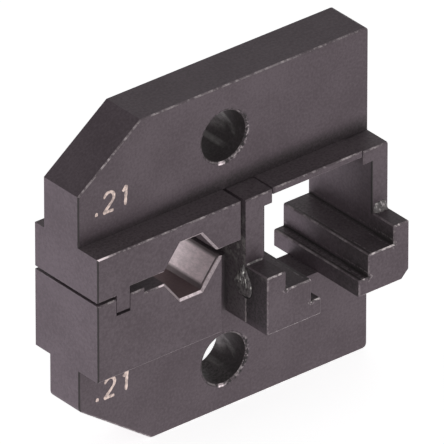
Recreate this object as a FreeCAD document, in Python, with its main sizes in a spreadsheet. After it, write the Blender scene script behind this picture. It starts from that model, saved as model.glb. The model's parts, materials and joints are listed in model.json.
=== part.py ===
"""Two-part crimp die: a hexagon crimp beside a nest for an eight-contact modular plug.

Frame: X runs along the die's width with zero on its middle, Y runs from the front face into
the depth, Z is the closing direction. The origin is in the middle of the lower mounting bore.
The die is modelled closed, with the small gap that stays between its two halves.
"""
import os

import FreeCAD
import Part
import Sketcher

Vector = FreeCAD.Vector
doc = FreeCAD.newDocument("crimp_die")

# Tolerance in millimetres of the tests that pick edges
SLACK = 1e-4

# Driving dimensions in millimetres
SIZES = {
    # whole die
    "jaw_depth": 8.55,
    "front_ledge": 2.6,
    "upper_tang_depth": 4.7,
    "lower_tang_depth": 4.0,
    "parting_height": 12.35,
    "parting_gap": 0.3,
    "edge_break": 0.12,
    "corner_radius": 0.45,
    "cut_corner_radius": 0.8,
    # heights of the two halves, from the parting plane and from the ledges
    "upper_jaw_height": 4.4,
    "upper_tang_height": 10.05,
    "lower_jaw_height": 7.65,
    "lower_tang_height": 9.55,
    "upper_corner_width": 6.8,
    "upper_corner_height": 5.1,
    "lower_corner_width": 7.9,
    "lower_corner_height": 5.6,
    # mounting bores
    "bore_diameter": 4.8,
    "bore_chamfer": 0.12,
    "upper_bore_height": 5.1,
    # hexagon crimp
    "hexagon_offset": 10.15,
    "hexagon_flat": 2.3,
    "hexagon_height": 5.5,
    "flank_angle": 52,
    "hexagon_land": 0.2,
    "hexagon_break": 0.2,
    "wing_length": 2.2,
    "wing_gap": 1.2,
    # locating tooth
    "tooth_offset": 2.05,
    "tooth_width": 1.4,
    "tooth_drop": 1.3,
    "tooth_clearance": 0.06,
    # nest for the modular plug
    "plug_width": 11.7,
    "plug_clearance": 0.2,
    "recess_width": 2.55,
    "block_clearance": 0.45,
    "right_wall": 1.7,
    "left_wall": 2.05,
    "lip_overhang": 0.95,
    "lip_height": 1.35,
    "guide_drop": 2.05,
    "guide_reach": 2.95,
    "guide_corner": 0.8,
    "shelf_drop": 3.85,
    "shelf_width": 2.8,
    "latch_shelf_drop": 6.05,
    "latch_shelf_width": 1.05,
    "wall_clearance": 0.1,
    # pins on the seam between nest and guide blocks
    "seam_pin_diameter": 1.9,
    "seam_pin_length": 1.6,
    "seam_pin_drop": 4.3,
    # punches
    "web_thickness": 0.65,
    "contact_count": 8,
    "contact_pitch": 1.02,
    "blade_thickness": 0.5,
    "blade_length": 1.3,
    "comb_margin": 0.55,
    "comb_shoulder": 0.35,
    "comb_depth": 1.6,
    "comb_setback": 2.6,
    "shank_height": 3.0,
    "strain_width": 7.4,
    "strain_depth": 1.5,
    "strain_setback": 0.6,
    "strain_reach": 2.9,
    "strain_nose": 0.35,
    "punch_clearance": 0.02,
    "punch_pin_diameter": 0.8,
    "punch_pin_height": 1.5,
    "punch_pin_end": 1.2,
    "pin_clearance": 0.02,
}

# Sizes that follow from the driving ones
DERIVED = {
    "mouth_run": "=(hexagon_height - wing_gap) / 2 / tan(flank_angle * 1 deg)",
    "face_run": "=(hexagon_height - parting_gap) / 2 / tan(flank_angle * 1 deg)",
    "hexagon_side": "=hexagon_offset + hexagon_flat / 2 + face_run + hexagon_land",
    "plug_side": "=recess_width + left_wall + plug_width + plug_clearance + right_wall",
    "left_x": "=-(hexagon_side + plug_side) / 2",
    "right_x": "=-left_x",
    "front_y": "=-front_ledge - lower_tang_depth / 2",
    "tang_front_y": "=front_y + front_ledge",
    "guide_front_y": "=front_y - guide_reach",
    "upper_face_z": "=parting_height + parting_gap / 2",
    "lower_face_z": "=parting_height - parting_gap / 2",
    "upper_ledge_z": "=parting_height + upper_jaw_height",
    "upper_top_z": "=upper_ledge_z + upper_tang_height",
    "lower_ledge_z": "=parting_height - lower_jaw_height",
    "lower_end_z": "=lower_ledge_z - lower_tang_height",
    "upper_bore_z": "=upper_ledge_z + upper_bore_height",
    "hexagon_x": "=left_x + hexagon_offset",
    "hexagon_top_z": "=parting_height + hexagon_height / 2",
    "hexagon_low_z": "=parting_height - hexagon_height / 2",
    "upper_wing_z": "=parting_height + wing_gap / 2",
    "lower_wing_z": "=parting_height - wing_gap / 2",
    "mouth_left_x": "=hexagon_x - hexagon_flat / 2 - mouth_run",
    "mouth_right_x": "=hexagon_x + hexagon_flat / 2 + mouth_run",
    "lower_block_x": "=left_x + hexagon_side",
    "wall_x": "=lower_block_x + recess_width",
    "upper_block_x": "=wall_x - block_clearance",
    "tooth_low_z": "=lower_face_z - tooth_drop",
    "nest_left_x": "=wall_x + left_wall",
    "nest_right_x": "=right_x - right_wall",
    "nest_x": "=(nest_left_x + nest_right_x) / 2",
    "wall_top_z": "=upper_ledge_z - wall_clearance",
    "lip_low_z": "=wall_top_z - lip_height",
    "guide_top_z": "=parting_height - guide_drop",
    "shelf_z": "=parting_height - shelf_drop",
    "latch_shelf_z": "=parting_height - latch_shelf_drop",
    "seam_pin_z": "=parting_height - seam_pin_drop",
    "web_low_z": "=upper_ledge_z - web_thickness",
    "comb_width": "=(contact_count - 1) * contact_pitch + blade_thickness + 2 * comb_margin",
    "comb_front_y": "=tang_front_y + comb_setback",
    "strain_front_y": "=tang_front_y + strain_setback",
    "shank_top_z": "=upper_ledge_z + shank_height",
    "punch_pin_z": "=upper_ledge_z + punch_pin_height",
}

sheet = doc.addObject("Spreadsheet::Sheet", "Sizes")
for row, (alias, value) in enumerate(list(SIZES.items()) + list(DERIVED.items()), start=1):
    sheet.set(f"A{row}", alias)
    sheet.set(f"B{row}", str(value))
    sheet.setAlias(f"B{row}", alias)
doc.recompute()


def size(alias):
    """Value of one cell of the sheet."""
    return float(getattr(sheet, alias))


def bound(formula):
    """Formula in the sheet's words, written for an expression of another object."""
    words = sorted(list(SIZES) + list(DERIVED), key=len, reverse=True)
    text, place = "", 0
    while place < len(formula):
        word = next((w for w in words if formula.startswith(w, place)), None)
        text += f"{sheet.Name}.{word}" if word else formula[place]
        place += len(word) if word else 1
    return text


def new_body(label):
    """Empty body with its label."""
    body = doc.addObject("PartDesign::Body", label)
    body.Label = label
    return body


def origin_feature(body, role):
    """One of the body's own origin planes or axes."""
    return next(item for item in body.Origin.OriginFeatures if item.Role == role)


def attach(body, name, role, offset):
    """Sketch on an origin plane of its body, moved along the plane's normal by a formula."""
    sketch = body.newObject("Sketcher::SketchObject", name)
    sketch.AttachmentSupport = [(origin_feature(body, role), "")]
    sketch.MapMode = "FlatFace"
    sketch.setExpression(".AttachmentOffset.Base.z", bound(offset))
    return sketch


def outline(body, name, points, offset="0", role="XZ_Plane"):
    """Closed outline whose corners are pairs of formulas."""
    sketch = attach(body, name, role, offset)
    values = [(doc_value(x), doc_value(z)) for x, z in points]
    for number, (x, z) in enumerate(values):
        after_x, after_z = values[(number + 1) % len(values)]
        sketch.addGeometry(Part.LineSegment(Vector(x, z, 0), Vector(after_x, after_z, 0)), False)
    for number in range(len(points)):
        sketch.addConstraint(
            Sketcher.Constraint("Coincident", number, 2, (number + 1) % len(points), 1))
    for number, (formulas, value) in enumerate(zip(points, values)):
        for kind, formula, distance in zip(("DistanceX", "DistanceY"), formulas, value):
            index = sketch.addConstraint(Sketcher.Constraint(kind, -1, 1, number, 1, distance))
            sketch.setExpression(f"Constraints[{index}]", bound(formula))
    return sketch


def circle(body, name, centre, diameter, offset="0", role="XZ_Plane"):
    """Circle whose centre and diameter are formulas."""
    sketch = attach(body, name, role, offset)
    x, z = (doc_value(formula) for formula in centre)
    sketch.addGeometry(Part.Circle(Vector(x, z, 0), Vector(0, 0, 1), doc_value(diameter) / 2), False)
    for kind, formula, value in zip(("DistanceX", "DistanceY"), centre, (x, z)):
        index = sketch.addConstraint(Sketcher.Constraint(kind, -1, 1, 0, 3, value))
        sketch.setExpression(f"Constraints[{index}]", bound(formula))
    index = sketch.addConstraint(Sketcher.Constraint("Diameter", 0, doc_value(diameter)))
    sketch.setExpression(f"Constraints[{index}]", bound(diameter))
    return sketch


scratch = doc.addObject("App::FeaturePython", "Scratch")
scratch.addProperty("App::PropertyFloat", "Result")


def doc_value(formula):
    """Number that a formula in the sheet's words has now."""
    scratch.setExpression("Result", bound(formula))
    scratch.recompute()
    return float(scratch.Result)


def pad(body, name, points, front, depth, role="XZ_Plane"):
    """Prism from its front face at a formula's place, along +Y (or +X from the YZ plane)."""
    sign = "-1 * " if role == "XZ_Plane" else ""
    sketch = outline(body, name + "_outline", points, f"{sign}({front})", role)
    feature = body.newObject("PartDesign::Pad", name)
    feature.Profile = sketch
    feature.Reversed = role == "XZ_Plane"
    feature.setExpression("Length", bound(depth))
    doc.recompute()
    return feature


def cut(body, name, sketch, depth):
    """Pocket from a sketch, on the side of it where there is material to take away."""
    before = body.Shape.Volume
    feature = body.newObject("PartDesign::Pocket", name)
    feature.Profile = sketch
    feature.Reversed = False
    feature.setExpression("Length", bound(depth))
    doc.recompute()
    if not feature.Shape.Volume < before - 1e-6:
        feature.Reversed = True
        doc.recompute()
    if not feature.Shape.Volume < before - 1e-6:
        raise RuntimeError(f"{name} cuts nothing")
    return feature


def dress(body, kind, name, width, wanted):
    """Chamfer or fillet of the body's last shape on the edges that a test picks."""
    base = body.Tip
    names = [f"Edge{n}" for n, edge in enumerate(base.Shape.Edges, start=1) if wanted(edge)]
    if not names:
        raise RuntimeError(f"{name} finds no edge")
    feature = body.newObject(f"PartDesign::{kind}", name)
    feature.Base = (base, names)
    feature.setExpression("Size" if kind == "Chamfer" else "Radius", bound(width))
    doc.recompute()
    return feature


def along_y(places):
    """Test for edges along Y through points that are pairs of formulas in X and Z."""
    points = [(doc_value(x), doc_value(z)) for x, z in places]
    return lambda edge: any(lies_at(edge, 0, x) and lies_at(edge, 2, z) for x, z in points)


def ends(edge):
    """First and last point of an edge."""
    return edge.Vertexes[0].Point, edge.Vertexes[-1].Point


def straight(edge):
    """Whether an edge is a line."""
    return isinstance(edge.Curve, Part.Line) and len(edge.Vertexes) == 2


def lies_at(edge, axis, place):
    """Whether a straight edge lies wholly at one coordinate."""
    return straight(edge) and all(abs(point[axis] - place) < SLACK for point in ends(edge))


def bore(body, name, height, front, depth):
    """Mounting bore through a tang, with a chamfer at both mouths."""
    cut(body, name, circle(body, name + "_circle", ("0", height), "bore_diameter",
                           f"-1 * ({front})"), depth)
    radius, tall = size("bore_diameter") / 2, doc_value(height)
    dress(body, "Chamfer", name + "_mouths", "bore_chamfer", lambda edge: (
        isinstance(edge.Curve, Part.Circle) and abs(edge.Curve.Radius - radius) < SLACK
        and abs(edge.Curve.Center.z - tall) < SLACK and abs(edge.Curve.Center.x) < SLACK))


def upper_die_body():
    """Upper half: tang, ledge, half hexagon, locating tooth, web over the nest, punch pockets."""
    body = new_body("upper_die_body")
    pad(body, "tang", [
        ("left_x", "upper_ledge_z"), ("right_x", "upper_ledge_z"), ("right_x", "upper_top_z"),
        ("left_x + upper_corner_width", "upper_top_z"),
        ("left_x", "upper_top_z - upper_corner_height"),
    ], "tang_front_y", "upper_tang_depth")
    dress(body, "Fillet", "top_corner", "corner_radius", along_y([("right_x", "upper_top_z")]))
    pad(body, "hexagon_jaw", [
        ("left_x", "upper_face_z"), ("left_x + tooth_offset", "upper_face_z"),
        ("left_x + tooth_offset", "tooth_low_z"),
        ("left_x + tooth_offset + tooth_width", "tooth_low_z"),
        ("left_x + tooth_offset + tooth_width", "upper_wing_z"),
        ("mouth_left_x", "upper_wing_z"),
        ("hexagon_x - hexagon_flat / 2", "hexagon_top_z"),
        ("hexagon_x + hexagon_flat / 2", "hexagon_top_z"),
        ("mouth_right_x", "upper_wing_z"),
        ("upper_block_x", "upper_wing_z"), ("upper_block_x", "upper_ledge_z"),
        ("left_x", "upper_ledge_z"),
    ], "front_y", "jaw_depth")
    pad(body, "web", [
        ("nest_left_x + lip_overhang + wall_clearance", "web_low_z"),
        ("nest_right_x - lip_overhang - wall_clearance", "web_low_z"),
        ("nest_right_x - lip_overhang - wall_clearance", "upper_ledge_z"),
        ("nest_left_x + lip_overhang + wall_clearance", "upper_ledge_z"),
    ], "front_y", "jaw_depth")
    bore(body, "bore", "upper_bore_z", "tang_front_y", "upper_tang_depth")
    for name, width, front, depth in (
            ("comb_pocket", "comb_width", "comb_front_y", "comb_depth"),
            ("strain_pocket", "strain_width", "strain_front_y", "strain_depth")):
        half = f"({width} / 2 + punch_clearance)"
        opening = outline(body, name + "_outline", [
            (f"nest_x - {half}", "web_low_z"), (f"nest_x + {half}", "web_low_z"),
            (f"nest_x + {half}", "shank_top_z + punch_clearance"),
            (f"nest_x - {half}", "shank_top_z + punch_clearance"),
        ], f"-1 * ({front} - punch_clearance)")
        cut(body, name, opening, f"{depth} + 2 * punch_clearance")
    for name, front, depth in (("comb_pin_hole", "comb_front_y", "comb_depth"),
                               ("strain_pin_hole", "strain_front_y", "strain_depth")):
        hole = circle(body, name + "_circle", (f"{front} + {depth} / 2", "punch_pin_z"),
                      "punch_pin_diameter + 2 * pin_clearance", "right_x", "YZ_Plane")
        cut(body, name, hole, "right_x - nest_x + comb_width / 2 + punch_pin_end")
    ledge = size("upper_ledge_z")
    dress(body, "Chamfer", "broken_edges", "edge_break", lambda edge: (
        on_jaw_face(edge) and not on_tooth(edge) and not in_hexagon(edge)
        or on_tang_face(edge, "upper_tang_depth")
        and max(point.z for point in ends(edge)) > ledge + SLACK))
    dress(body, "Chamfer", "hexagon_edges", "hexagon_break", on_hexagon)
    return body


def in_hexagon(edge):
    """Whether both ends of an edge lie on the hexagon's outline."""
    half = size("hexagon_flat") / 2 + size("face_run") + SLACK
    return all(abs(point.x - size("hexagon_x")) < half
               and abs(point.z - size("parting_height")) < size("hexagon_height") / 2 + SLACK
               for point in ends(edge))


def on_hexagon(edge):
    """Whether an edge is the hexagon's outline in the jaw's front or back face."""
    return on_jaw_face(edge) and in_hexagon(edge)


def on_tooth(edge):
    """Whether an edge belongs to the locating tooth or its groove, which stay sharp."""
    tooth_left = size("left_x") + size("tooth_offset")
    slack = size("tooth_clearance") + SLACK
    return all(tooth_left - slack < point.x < tooth_left + size("tooth_width") + slack
               for point in ends(edge))


def on_jaw_face(edge):
    """Whether an edge lies in the jaw's front or back face."""
    return any(lies_at(edge, 1, y) for y in (size("front_y"), size("front_y") + size("jaw_depth")))


def on_tang_face(edge, depth):
    """Whether an edge lies in the front or back face of a tang of that depth."""
    front = size("tang_front_y")
    return any(lies_at(edge, 1, y) for y in (front, front + size(depth)))


def nest_channel(body, name, front, depth):
    """Stepped channel of the plug nest, with the lips over it, cut through its depth."""
    left, right = "nest_left_x", "nest_right_x"
    floor = "lower_ledge_z"
    over = "wall_top_z + lip_height"
    points = [
        (left, "shelf_z"), (f"{left} + shelf_width", "shelf_z"),
        (f"{left} + shelf_width", "latch_shelf_z"),
        (f"{left} + shelf_width + latch_shelf_width", "latch_shelf_z"),
        (f"{left} + shelf_width + latch_shelf_width", floor),
        (f"{right} - shelf_width - latch_shelf_width", floor),
        (f"{right} - shelf_width - latch_shelf_width", "latch_shelf_z"),
        (f"{right} - shelf_width", "latch_shelf_z"), (f"{right} - shelf_width", "shelf_z"),
        (right, "shelf_z"), (right, "lip_low_z"), (f"{right} - lip_overhang", "lip_low_z"),
        (f"{right} - lip_overhang", over), (f"{left} + lip_overhang", over),
        (f"{left} + lip_overhang", "lip_low_z"), (left, "lip_low_z"),
    ]
    return cut(body, name, outline(body, name + "_outline", points, f"-1 * ({front})"), depth)


def lower_die_body():
    """Lower half: tang, half hexagon, groove for the tooth, and the plug nest with its walls."""
    body = new_body("lower_die_body")
    pad(body, "tang", [
        ("left_x", "lower_end_z + lower_corner_height"),
        ("left_x + lower_corner_width", "lower_end_z"),
        ("right_x", "lower_end_z"), ("right_x", "guide_top_z"), ("lower_block_x", "guide_top_z"),
        ("lower_block_x", "lower_ledge_z"), ("left_x", "lower_ledge_z"),
    ], "tang_front_y", "lower_tang_depth")
    dress(body, "Fillet", "low_corner", "corner_radius", along_y([("right_x", "lower_end_z")]))
    dress(body, "Fillet", "cut_corners", "cut_corner_radius", along_y([
        ("left_x", "lower_end_z + lower_corner_height"),
        ("left_x + lower_corner_width", "lower_end_z")]))
    groove_left = "left_x + tooth_offset - tooth_clearance"
    groove_right = "left_x + tooth_offset + tooth_width + tooth_clearance"
    pad(body, "hexagon_jaw", [
        ("left_x", "lower_ledge_z"), ("lower_block_x", "lower_ledge_z"),
        ("lower_block_x", "lower_face_z"),
        ("hexagon_x + hexagon_flat / 2 + face_run", "lower_face_z"),
        ("hexagon_x + hexagon_flat / 2", "hexagon_low_z"),
        ("hexagon_x - hexagon_flat / 2", "hexagon_low_z"),
        ("mouth_left_x", "lower_wing_z"),
        ("mouth_left_x - wing_length", "lower_wing_z"),
        ("mouth_left_x - wing_length", "lower_face_z"),
        (groove_right, "lower_face_z"), (groove_right, "tooth_low_z - parting_gap"),
        (groove_left, "tooth_low_z - parting_gap"), (groove_left, "lower_face_z"),
        ("left_x", "lower_face_z"),
    ], "front_y", "jaw_depth")
    pad(body, "nest", [
        ("wall_x", "lower_ledge_z"), ("right_x", "lower_ledge_z"), ("right_x", "wall_top_z"),
        ("wall_x", "wall_top_z"),
    ], "front_y", "jaw_depth")
    nest_channel(body, "channel", "front_y", "jaw_depth")
    bore(body, "bore", "0", "tang_front_y", "lower_tang_depth")
    pin_half(body, "left_pin_hole", "wall_x")
    pin_half(body, "right_pin_hole", "right_x")
    dress(body, "Chamfer", "shelf_edges", "edge_break", along_y(
        shelf_corners("nest_left_x", "+") + shelf_corners("nest_right_x", "-")))
    ledge, seam_top = size("lower_ledge_z"), size("guide_top_z")
    dress(body, "Chamfer", "broken_edges", "edge_break", lambda edge: (
        on_jaw_face(edge) and not on_seam(edge, seam_top) and not on_tooth(edge)
        and not in_hexagon(edge)
        or on_tang_face(edge, "lower_tang_depth")
        and min(point.z for point in ends(edge)) < ledge - SLACK))
    dress(body, "Chamfer", "hexagon_edges", "hexagon_break", on_hexagon)
    return body


def pin_half(body, name, outer):
    """Half hole for a seam pin, from the outer side inwards."""
    cut(body, name, circle(body, name + "_circle", ("front_y", "seam_pin_z"),
                           "seam_pin_diameter", outer, "YZ_Plane"), "seam_pin_length")


def shelf_corners(near, sign):
    """Corners of the two shelves on one side of the channel, from that side's inner wall."""
    return [(f"{near} {sign} shelf_width", "shelf_z"),
            (f"{near} {sign} shelf_width {sign} latch_shelf_width", "latch_shelf_z")]


def on_seam(edge, seam_top):
    """Whether an edge of the front face reaches down to where the guide blocks butt."""
    return (lies_at(edge, 1, size("front_y")) and min(point.z for point in ends(edge)) < seam_top
            and max(point.x for point in ends(edge)) > size("wall_x") - SLACK)


def guide_block(side):
    """Guide block in front of the nest: the nest's stepped section carried forward."""
    left = side == "left"
    body = new_body(f"guide_block_{side}")
    near, sign = ("nest_left_x", "+") if left else ("nest_right_x", "-")
    outer = "wall_x" if left else "right_x"
    foot = [(outer, "lower_ledge_z")] if left else [
        (outer, "lower_ledge_z + guide_corner"), (f"{outer} - guide_corner", "lower_ledge_z")]
    pad(body, f"{side}_block", [
        *foot,
        (f"{near} {sign} shelf_width {sign} latch_shelf_width", "lower_ledge_z"),
        (f"{near} {sign} shelf_width {sign} latch_shelf_width", "latch_shelf_z"),
        (f"{near} {sign} shelf_width", "latch_shelf_z"),
        (f"{near} {sign} shelf_width", "shelf_z"), (near, "shelf_z"), (near, "guide_top_z"),
        (outer, "guide_top_z"),
    ], "guide_front_y", "guide_reach")
    pin_half(body, "pin_groove", outer)
    dress(body, "Chamfer", "long_edges", "edge_break", along_y(
        shelf_corners(near, sign) + [(near, "guide_top_z"), (outer, "guide_top_z")]))
    reach = size("guide_front_y")
    dress(body, "Chamfer", "broken_edges", "edge_break", lambda edge: lies_at(edge, 1, reach))
    return body


def round_pin(label, diameter, length, place):
    """Plain dowel along X: its diameter, length and start are formulas."""
    pin = doc.addObject("Part::Cylinder", label)
    pin.Label = label
    pin.setExpression("Radius", bound(f"({diameter}) / 2"))
    pin.setExpression("Height", bound(length))
    pin.Placement = FreeCAD.Placement(Vector(), FreeCAD.Rotation(Vector(0, 1, 0), 90))
    for letter, formula in zip("xyz", place):
        pin.setExpression(f".Placement.Base.{letter}", bound(formula))
    return pin


def contact_punch():
    """Comb that presses the contacts home: one blade for each contact under a common shank."""
    body = new_body("contact_punch")
    half = "comb_width / 2"
    blade_top = "web_low_z - comb_shoulder"
    pad(body, "shank", [
        (f"nest_x - {half}", blade_top), (f"nest_x + {half}", blade_top),
        (f"nest_x + {half}", "shank_top_z"), (f"nest_x - {half}", "shank_top_z"),
    ], "comb_front_y", "comb_depth")
    first = "nest_x - (contact_count - 1) * contact_pitch / 2"
    blade = pad(body, "blade", [
        (f"{first} - blade_thickness / 2", f"{blade_top} - blade_length"),
        (f"{first} + blade_thickness / 2", f"{blade_top} - blade_length"),
        (f"{first} + blade_thickness / 2", blade_top),
        (f"{first} - blade_thickness / 2", blade_top),
    ], "comb_front_y", "comb_depth")
    blades = body.newObject("PartDesign::LinearPattern", "blades")
    blades.Originals = [blade]
    blades.Direction = (origin_feature(body, "X_Axis"), [""])
    blades.setExpression("Occurrences", bound("contact_count"))
    blades.setExpression("Length", bound("(contact_count - 1) * contact_pitch"))
    body.Tip = blades
    doc.recompute()
    hole = circle(body, "pin_hole_circle", ("comb_front_y + comb_depth / 2", "punch_pin_z"),
                  "punch_pin_diameter", "nest_x - comb_width / 2 - punch_pin_end", "YZ_Plane")
    cut(body, "pin_hole", hole, "comb_width + 2 * punch_pin_end")
    return body


def strain_relief_punch():
    """Bar with a narrowed nose that presses the plug's strain relief down on the cable."""
    body = new_body("strain_relief_punch")
    nose_z = "upper_ledge_z - strain_reach"
    back = "strain_front_y + strain_depth"
    middle = "strain_front_y + strain_depth / 2"
    sketch = outline(body, "bar_outline", [
        ("strain_front_y", "shank_top_z"), ("strain_front_y", "web_low_z - comb_shoulder"),
        (f"{middle} - strain_nose / 2", nose_z), (f"{middle} + strain_nose / 2", nose_z),
        (back, "web_low_z - comb_shoulder"), (back, "shank_top_z"),
    ], "nest_x - strain_width / 2", "YZ_Plane")
    bar = body.newObject("PartDesign::Pad", "bar")
    bar.Profile = sketch
    bar.setExpression("Length", bound("strain_width"))
    doc.recompute()
    hole = circle(body, "pin_hole_circle", (middle, "punch_pin_z"),
                  "punch_pin_diameter", "nest_x - strain_width / 2 - punch_pin_end", "YZ_Plane")
    cut(body, "pin_hole", hole, "strain_width + 2 * punch_pin_end")
    return body


parts = [upper_die_body(), lower_die_body(), guide_block("left"), guide_block("right"),
         contact_punch(), strain_relief_punch()]

pin_length = "right_x - nest_x + comb_width / 2 + punch_pin_end"
for label, front, depth in (("contact_punch_pin", "comb_front_y", "comb_depth"),
                            ("strain_punch_pin", "strain_front_y", "strain_depth")):
    parts.append(round_pin(label, "punch_pin_diameter", pin_length, (
        "nest_x - comb_width / 2 - punch_pin_end", f"{front} + {depth} / 2", "punch_pin_z")))
for side, start in (("left", "wall_x"), ("right", "right_x - seam_pin_length")):
    parts.append(round_pin(f"seam_pin_{side}", "seam_pin_diameter", "seam_pin_length",
                           (start, "front_y", "seam_pin_z")))

doc.removeObject(scratch.Name)
doc.recompute()
for item in doc.Objects:
    if "Invalid" in item.State or "Error" in item.State:
        raise RuntimeError(f"{item.Name} has failed: {item.State}")
for item in parts:
    if item.Shape.isNull() or not item.Shape.isValid() or not item.Shape.Solids:
        raise RuntimeError(f"{item.Label} has no valid solid")

os.makedirs("parts", exist_ok=True)
for item in parts:
    item.Shape.exportStep(os.path.join("parts", item.Label + ".step"))
    box = item.Shape.BoundBox
    print(f"{item.Label}: {len(item.Shape.Solids)} solid(s), {item.Shape.Volume:.2f} mm3, "
          f"x {box.XMin:.2f}..{box.XMax:.2f} y {box.YMin:.2f}..{box.YMax:.2f} "
          f"z {box.ZMin:.2f}..{box.ZMax:.2f}")
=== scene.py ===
"""Looks of a two-part crimp die: blackened tool steel, hand-cut marks and brazed seams.

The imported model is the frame. Everything here is in metres, in the row's own axes: X along the
width, Y into the depth, Z the way the die opens.
"""
import json
import logging
import math
from dataclasses import dataclass, field
from enum import Enum
from functools import cached_property
from typing import Any, Iterable

import bmesh
import bpy
import numpy as np
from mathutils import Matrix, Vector


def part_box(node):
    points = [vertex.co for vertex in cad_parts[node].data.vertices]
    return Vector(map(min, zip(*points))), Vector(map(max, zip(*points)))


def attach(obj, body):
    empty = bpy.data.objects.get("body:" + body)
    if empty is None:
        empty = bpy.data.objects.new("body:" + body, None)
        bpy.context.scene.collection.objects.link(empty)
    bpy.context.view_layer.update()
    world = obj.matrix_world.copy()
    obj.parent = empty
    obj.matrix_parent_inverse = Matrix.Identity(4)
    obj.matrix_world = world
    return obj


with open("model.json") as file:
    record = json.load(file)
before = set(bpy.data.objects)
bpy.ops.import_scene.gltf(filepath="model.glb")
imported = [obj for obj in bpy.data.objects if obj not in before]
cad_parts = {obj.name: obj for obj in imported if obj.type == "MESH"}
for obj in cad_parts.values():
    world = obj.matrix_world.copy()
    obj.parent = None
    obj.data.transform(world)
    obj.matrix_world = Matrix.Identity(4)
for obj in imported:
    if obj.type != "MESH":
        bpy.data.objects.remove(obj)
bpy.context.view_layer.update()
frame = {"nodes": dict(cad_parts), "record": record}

log = logging.getLogger("crimp_die")

MM = 0.001
MERGE = 1e-7  # metres within which two vertices are one
LOWER, UPPER = "lower_die", "upper_die"
Point = tuple[float, float, float]
Colour = tuple[float, float, float]
Box = tuple[np.ndarray, np.ndarray]


class Side(Enum):
    """The two sides of the plug nest, as signs along X."""

    LEFT = -1
    RIGHT = 1


@dataclass(frozen=True)
class Frame:
    """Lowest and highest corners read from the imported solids, in millimetres.

    Attributes:
        lower: Corners of the lower half.
        guides: Corners of each side's guide block.
        pins: Corners of each side's seam pin.
    """

    lower: Box
    guides: dict[Side, Box]
    pins: dict[Side, Box]

    @classmethod
    def read(cls) -> "Frame":
        """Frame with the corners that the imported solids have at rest."""
        def box(name: str) -> Box:
            """Corners of one solid."""
            return tuple(np.array(corner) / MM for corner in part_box(name))

        guides, pins = ({side: box(f"{kind}_{side.name.lower()}") for side in Side}
                        for kind in ("guide_block", "seam_pin"))
        return cls(box("lower_die_body"), guides, pins)

    def outer(self, side: Side) -> float:
        """X of a guide block's outer side."""
        return float(self.guides[side][side is Side.RIGHT][0])

    @property
    def front(self) -> float:
        """Y of the jaws' front face."""
        return float(self.lower[0][1])

    @property
    def left(self) -> float:
        """X of the die's left side."""
        return float(self.lower[0][0])


class Socket:
    """A shader value that takes part in Python expressions."""

    def __init__(self, graph: "Graph", output: Any) -> None:
        """Wraps a node's output.

        Args:
            graph: Graph that the output belongs to.
            output: Blender's own socket.
        """
        self.graph = graph
        self.output = output

    def _math(self, operation: str, *values: Any) -> "Socket":
        """Adds a Math node and returns its result."""
        return self.graph.add("ShaderNodeMath", {"operation": operation}, dict(enumerate(values)))

    def __add__(self, other: Any) -> "Socket":
        """Sum."""
        return self._math("ADD", self, other)

    __radd__ = __add__

    def __sub__(self, other: Any) -> "Socket":
        """Difference."""
        return self._math("SUBTRACT", self, other)

    def __rsub__(self, other: Any) -> "Socket":
        """Reflected difference."""
        return self._math("SUBTRACT", other, self)

    def __mul__(self, other: Any) -> "Socket":
        """Product."""
        return self._math("MULTIPLY", self, other)

    __rmul__ = __mul__

    def __abs__(self) -> "Socket":
        """Size without sign."""
        return self._math("ABSOLUTE", self)

    def low(self, other: Any) -> "Socket":
        """The lesser of two values."""
        return self._math("MINIMUM", self, other)

    def high(self, other: Any) -> "Socket":
        """The greater of two values."""
        return self._math("MAXIMUM", self, other)

    def ramp(self, start: float, end: float) -> "Socket":
        """Smooth step from 0 at start to 1 at end; end may be the lesser."""
        settings = {"interpolation_type": "SMOOTHSTEP"}
        if start < end:
            return self.graph.add("ShaderNodeMapRange", settings, {0: self, 1: start, 2: end})
        return 1 - self.graph.add("ShaderNodeMapRange", settings, {0: self, 1: end, 2: start})

    def towards(self, sign: int) -> "Socket":
        """Mask of the faces that look along an axis, from their facing's part on it."""
        return self.ramp(0.80 * sign, 0.95 * sign)


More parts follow.
